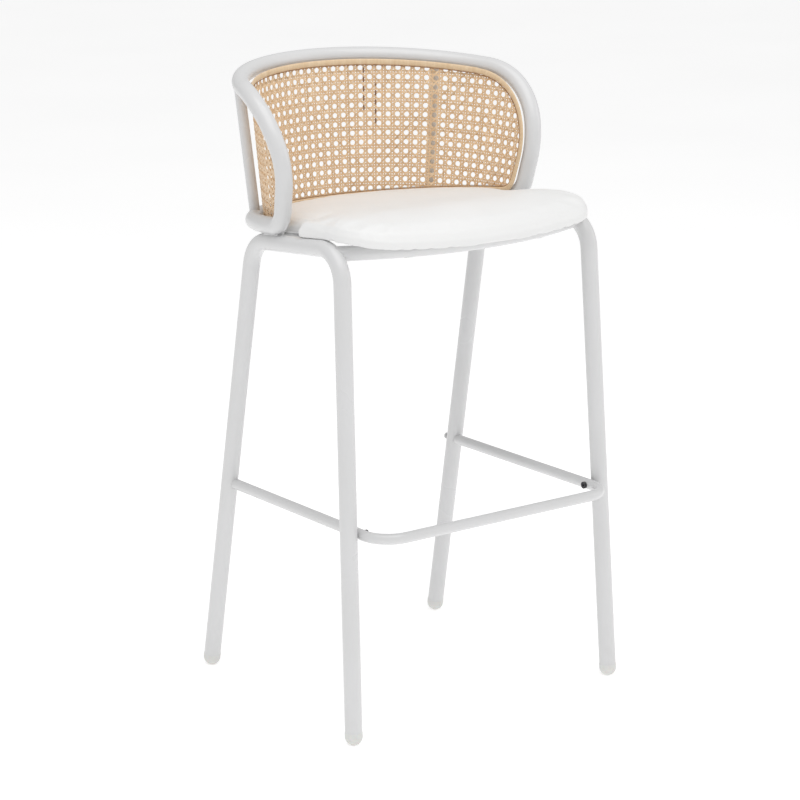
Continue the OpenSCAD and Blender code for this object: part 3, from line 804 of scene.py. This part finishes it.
def edge_path(inset, sheet, count):
    """The closed line that runs inset from the hoop, on the cone, as turns and heights."""
    side = arm_side(inset)
    turn, up = cone_turn(side[:, 0], side[:, 1], sheet)

    def rail(from_turn, height):
        turns = np.linspace(math.pi / 2, from_turn, 90)
        ups = np.zeros(90)
        for _ in range(30):
            spot = on_cone(turns, ups, sheet)
            ups += (height(spot[:, 1]) - spot[:, 2]) / TILT_C
        return turns, ups

    top_t, top_u = rail(turn[0], lambda y: top_z(y) - inset)
    low_t, low_u = rail(turn[-1], lambda y: ring_z(y) + inset)
    half_t = np.concatenate([top_t[:-1], turn, low_t[::-1][1:]])
    half_u = np.concatenate([top_u[:-1], up, low_u[::-1][1:]])
    turns = np.concatenate([half_t, math.pi - half_t[-2:0:-1]])
    ups = np.concatenate([half_u, half_u[-2:0:-1]])
    spot = on_cone(np.append(turns, turns[0]), np.append(ups, ups[0]), sheet)
    run = np.concatenate([[0], np.cumsum(np.linalg.norm(np.diff(spot, axis=0), axis=1))])
    at = np.linspace(0, run[-1], count, endpoint=False)
    closed_turns, closed_ups = np.append(turns, turns[0]), np.append(ups, ups[0])
    return np.interp(at, run, closed_turns), np.interp(at, run, closed_ups), run[-1]


edge_y_z = np.concatenate([[[400, top_z(400) - CANE_LAP - 0.8]], arm_side(CANE_LAP + 0.8),
                           [[400, ring_z(400) + CANE_LAP + 0.8]]])


def inside_edge(y, z):
    """True where a place in the side view lies within the cane's edge."""
    hit = np.zeros(y.shape, bool)
    a, b = edge_y_z, np.roll(edge_y_z, -1, axis=0)
    for (ay, az), (by, bz) in zip(a, b):
        crosses = (az > z) != (bz > z)
        with np.errstate(divide="ignore", invalid="ignore"):
            hit ^= crosses & (y < (by - ay) * (z - az) / (bz - az) + ay)
    return hit


PITCH = 14.3
PAIR = 0.146
STRAND_W = 2.5
STRAND_T = 0.5
CROWN = 0.22
LIFT = 0.28
OVER = 0.78


def pair_wave(u):
    """Height of one of a pair as it weaves through the other pair; u runs 0 to 1 over a pitch."""
    near = (u % 1.0) - 0.5
    return np.where(np.abs(near) < 2 * PAIR, np.sin(near * math.pi / (2 * PAIR)), 0.0)


def strand_span(start, step, reach):
    """The stretch of a straight strand that lies within the cane's edge, or None."""
    t = np.linspace(-reach, reach, int(reach * 2 / 0.8))
    flat = np.asarray(start)[None] + t[:, None] * np.asarray(step)[None]
    spot = on_cone(math.pi / 2 - flat[:, 0] / SHEET_R, flat[:, 1], CANE_MID_E)
    ok = inside_edge(spot[:, 1], spot[:, 2]) & (np.abs(flat[:, 0]) < SHEET_R * 2.2)
    if ok.sum() * 0.8 < 5:
        return None
    return t[ok][0], t[ok][-1]


def weave_family(name, lines, samples, sign_of, wave):
    """One set of parallel strands: a grid, cut into ribbons, laid along their lines and given thickness."""
    spans = []
    for k, (start, step, reach) in enumerate(lines):
        span = strand_span(start, step, reach)
        if span is not None:
            spans.append((np.array(start), np.array(step), span, k))
    count = len(spans)
    deselect()
    bpy.ops.mesh.primitive_grid_add(x_subdivisions=samples, y_subdivisions=3 * count - 1, size=2.0)
    ribbons = named(name)
    co = points(ribbons)
    column = np.rint((co[:, 0] + 1) / 2 * samples).astype(int)
    row = np.rint((co[:, 1] + 1) / 2 * (3 * count - 1)).astype(int)
    centre_row = np.zeros(len(ribbons.data.polygons) * 3)
    ribbons.data.polygons.foreach_get("center", centre_row)
    cell = np.floor((centre_row.reshape(-1, 3)[:, 1] + 1) / 2 * (3 * count - 1)).astype(int)
    edit(ribbons, "FACE")
    select_where(ribbons, "polygons", cell % 3 == 2)
    bpy.ops.mesh.delete(type="FACE")
    bpy.ops.object.mode_set(mode="OBJECT")

    which, across = row // 3, row % 3 - 1
    tones = rng.normal(0.62, 0.2, count).clip(0, 1)
    wander = rng.normal(0, 0.18, (count, 3))
    start = np.array([s[0] for s in spans])
    step = np.array([s[1] for s in spans])
    low = np.array([s[2][0] for s in spans])
    high = np.array([s[2][1] for s in spans])
    parity = np.array([sign_of(s[3]) for s in spans])
    t = low[which] + (high - low)[which] * column / samples
    flat = start[which] + t[:, None] * step[which]
    side = np.stack([-step[:, 1], step[:, 0]], 1)[which]
    drift = wander[which, 0] * np.sin(t / 41 + wander[which, 1] * 30) * 1.1
    flat = flat + side * (across * STRAND_W / 2 + drift)[:, None]
    crown = np.where(across == 0, CROWN, 0)
    height = wave(flat - side * (across * STRAND_W / 2)[:, None], parity[which]) + crown
    spot = on_cone(math.pi / 2 - flat[:, 0] / SHEET_R, flat[:, 1], CANE_MID_E - height)
    spot[:, 1] += SHIFT_Y
    place_points(ribbons, spot * MM)

    tone = ribbons.data.attributes.new("tone", "FLOAT", "POINT")
    tone.data.foreach_set("value", (tones[which] + 0.1 * np.sin(t / 23 + which)).astype(np.float32))
    stain = ribbons.data.attributes.new("stain", "FLOAT", "POINT")
    stain.data.foreach_set("value", stain_of(name, flat).astype(np.float32))
    sheet = ribbons.data.uv_layers[0]
    sheet.name = "along"
    corner = np.zeros(len(ribbons.data.loops), int)
    ribbons.data.loops.foreach_get("vertex_index", corner)
    uv = np.stack([t * MM * 4, which * 0.37 + across * 0.012], 1)[corner]
    sheet.data.foreach_set("uv", uv.ravel())

    finish_modifier(ribbons, "SOLIDIFY", thickness=STRAND_T * MM, offset=-1)
    edit(ribbons, "FACE")
    bpy.ops.object.mode_set(mode="EDIT")
    bpy.ops.mesh.select_all(action="SELECT")
    bpy.ops.mesh.normals_make_consistent(inside=False)
    bpy.ops.object.mode_set(mode="OBJECT")
    smooth(ribbons, 55)
    return ribbons


def stain_of(name, flat):
    """A few strands have a length of dark heartwood."""
    mask = np.zeros(len(flat))
    if name != "cane_uprights":
        return mask
    for across, low, high in DARK_LENGTHS:
        near = np.abs(flat[:, 0] - across) < 2.2
        inside = step_up(flat[:, 1], low - 3, low + 3) * (1 - step_up(flat[:, 1], high - 3, high + 3))
        mask = np.maximum(mask, near * inside)
    return mask * 0.85


DARK_LENGTHS = [(PITCH * (5.5 - PAIR), 20, 90), (PITCH * (6.5 + PAIR), -5, 62)]


def upright_wave(flat, sign):
    return sign * LIFT * pair_wave(flat[:, 1] / PITCH)


def row_wave(flat, sign):
    return sign * LIFT * pair_wave(flat[:, 0] / PITCH)


def diagonal_wave(flat, sign):
    return sign * OVER * np.cos(2 * math.pi * flat[:, 0] / PITCH)


upright_lines = [([(i + 0.5 + s * PAIR) * PITCH, 0.0], [0.0, 1.0], 150.0)
                 for i in range(-28, 28) for s in (-1, 1)]
row_lines = [([0.0, (j + 0.5 + s * PAIR) * PITCH], [1.0, 0.0], 470.0)
             for j in range(-10, 10) for s in (-1, 1)]
slant = math.sqrt(0.5)
rising_lines = [([(m + 0.5) * PITCH, 0.0], [slant, slant], 220.0) for m in range(-34, 34)]
falling_lines = [([(m + 0.5) * PITCH, 0.0], [slant, -slant], 220.0) for m in range(-34, 34)]

weave = [
    weave_family("cane_uprights", upright_lines, 110, lambda k: -1 if k % 2 == 0 else 1, upright_wave),
    weave_family("cane_rows", row_lines, 420, lambda k: 1 if k % 2 == 0 else -1, row_wave),
    weave_family("cane_rising", rising_lines, 112, lambda k: -1, diagonal_wave),
    weave_family("cane_falling", falling_lines, 112, lambda k: 1, diagonal_wave),
]
for k, strands in enumerate(weave):
    settle(strands, cane, "cane", *(["cane_panel"] if k == 0 else []))


def edge_strip(name, inset, sheet, half_w, rise, drop, around, minor):
    """A torus led round the cane's edge, so that it is one closed strip with its own cross-section."""
    deselect()
    bpy.ops.mesh.primitive_torus_add(major_segments=around, minor_segments=minor, major_radius=1.0,
                                     minor_radius=0.25, generate_uvs=True)
    strip = named(name)
    co = points(strip)
    big = np.arctan2(co[:, 1], co[:, 0]) % (2 * math.pi)
    index = np.rint(big / (2 * math.pi) * around).astype(int) % around
    small = np.arctan2(co[:, 2], np.hypot(co[:, 0], co[:, 1]) - 1.0)
    turns, ups, length = edge_path(inset, sheet, around)
    middle = on_cone(turns, ups, sheet)
    inner = on_cone(turns, ups, sheet + 1.0)
    forward = np.roll(middle, -1, axis=0) - np.roll(middle, 1, axis=0)
    forward /= np.linalg.norm(forward, axis=1, keepdims=True)
    lift = inner - middle
    lift -= (lift * forward).sum(1, keepdims=True) * forward
    lift /= np.linalg.norm(lift, axis=1, keepdims=True)
    sideways = np.cross(forward, lift)
    over = np.sin(small)
    height = np.where(over > 0, over * rise, over * drop)
    spot = middle[index] + sideways[index] * (np.cos(small) * half_w)[:, None] + lift[index] * height[:, None]
    spot[:, 1] += SHIFT_Y
    place_points(strip, spot * MM)
    sheet_uv = strip.data.uv_layers[0]
    sheet_uv.name = "along"
    corner = np.zeros(len(strip.data.loops), int)
    strip.data.loops.foreach_get("vertex_index", corner)
    run = index * length / around * MM * 4
    uv = np.stack([run[corner], (small[corner] / math.pi) * half_w * 0.004], 1)
    sheet_uv.data.foreach_set("uv", uv.ravel())
    edit(strip, "FACE")
    bpy.ops.object.mode_set(mode="EDIT")
    bpy.ops.mesh.select_all(action="SELECT")
    bpy.ops.mesh.normals_make_consistent(inside=False)
    bpy.ops.object.mode_set(mode="OBJECT")
    smooth(strip, 60)
    return strip


strip_half_w = (BINDING_W + BINDING_LAP) / 2
binding = edge_strip("cane_edge_binding", CANE_LAP - BINDING_LAP + strip_half_w, BINDING_E + 0.4,
                     strip_half_w, rise=1.75, drop=0.4, around=520, minor=12)
settle(binding, rattan, "rattan_binding", "cane_binding")
# Painted shade: a thin dark strip along the binding's inner edge, standing for the shadow in the groove.
groove_shadow_strip = edge_strip("cane_groove_shadow", CANE_LAP + BINDING_W + 0.55, BINDING_E + 0.45,
                   half_w=0.6, rise=0.7, drop=0.45, around=520, minor=8)
settle(groove_shadow_strip, groove_shadow_paint, "rattan_binding")


# ---- floor, light and camera ----


def floor_finish(nodes):
    place = here(nodes)
    cloud = nodes.noise(place, 1.4, 3.0, 0.5)
    fine = nodes.noise(place, 260.0, 2.0, 0.5)
    return {
        "Base Color": nodes.mix(nodes.stretch(cloud, 0.3, 0.7), (0.93, 0.93, 0.93, 1), (0.91, 0.91, 0.91, 1)),
        "Roughness": nodes.stretch(cloud, 0.3, 0.7, 0.75, 0.85),
        "Emission Color": nodes.mix(cloud, (1.0, 1.0, 1.0, 1), (0.98, 0.98, 0.98, 1)),
        "Normal": bump(nodes, fine, 0.05, 0.0005),
    }


deselect()
bpy.ops.mesh.primitive_circle_add(vertices=96, radius=14.0, fill_type="NGON", location=(0, 0, 0))
ground = named("studio_floor")
ground.data.materials.append(material("pale_floor", floor_finish, Emission_Strength=0.38))

world = bpy.data.worlds.new("studio")
scene.world = world
world.use_nodes = True
sky = world.node_tree.nodes["Background"]
sky.inputs["Color"].default_value = (1, 1, 1, 1)
sky.inputs["Strength"].default_value = 0.6


def area_light(name, place, aim, size, power):
    data = bpy.data.lights.new(name, "AREA")
    data.shape = "SQUARE"
    data.size = size
    data.energy = power
    lamp = bpy.data.objects.new(name, data)
    scene.collection.objects.link(lamp)
    lamp.location = place
    line = np.array(aim) - np.array(place)
    tip = math.acos(-line[2] / np.linalg.norm(line))
    lamp.rotation_euler = (tip, 0, math.atan2(line[1], line[0]) - math.pi / 2)


area_light("overhead", (-0.4, -0.8, 3.4), (0, 0, 0.6), 3.0, 48)
area_light("side", (3.0, -1.6, 1.9), (0, 0, 0.6), 1.8, 8)

VIEW_TURN, VIEW_RISE = -37.033, 13.477
VIEW_DISTANCE = 4.0785
back_line = np.array([math.sin(math.radians(VIEW_TURN)) * math.cos(math.radians(VIEW_RISE)),
                      -math.cos(math.radians(VIEW_TURN)) * math.cos(math.radians(VIEW_RISE)),
                      math.sin(math.radians(VIEW_RISE))])
camera_data = bpy.data.cameras.new("camera")
camera_data.sensor_width = 36.0
camera_data.lens = 122.79
camera_data.shift_x = -0.01996
camera_data.shift_y = -0.05765
camera_data.clip_end = 100.0
camera = bpy.data.objects.new("camera", camera_data)
scene.collection.objects.link(camera)
camera.location = np.array([0, SHIFT_Y * MM, 0.51]) + back_line * VIEW_DISTANCE
camera.rotation_euler = (math.radians(90 - VIEW_RISE), 0, math.radians(VIEW_TURN))
scene.camera = camera
scene.view_settings.view_transform = "Standard"

deselect()
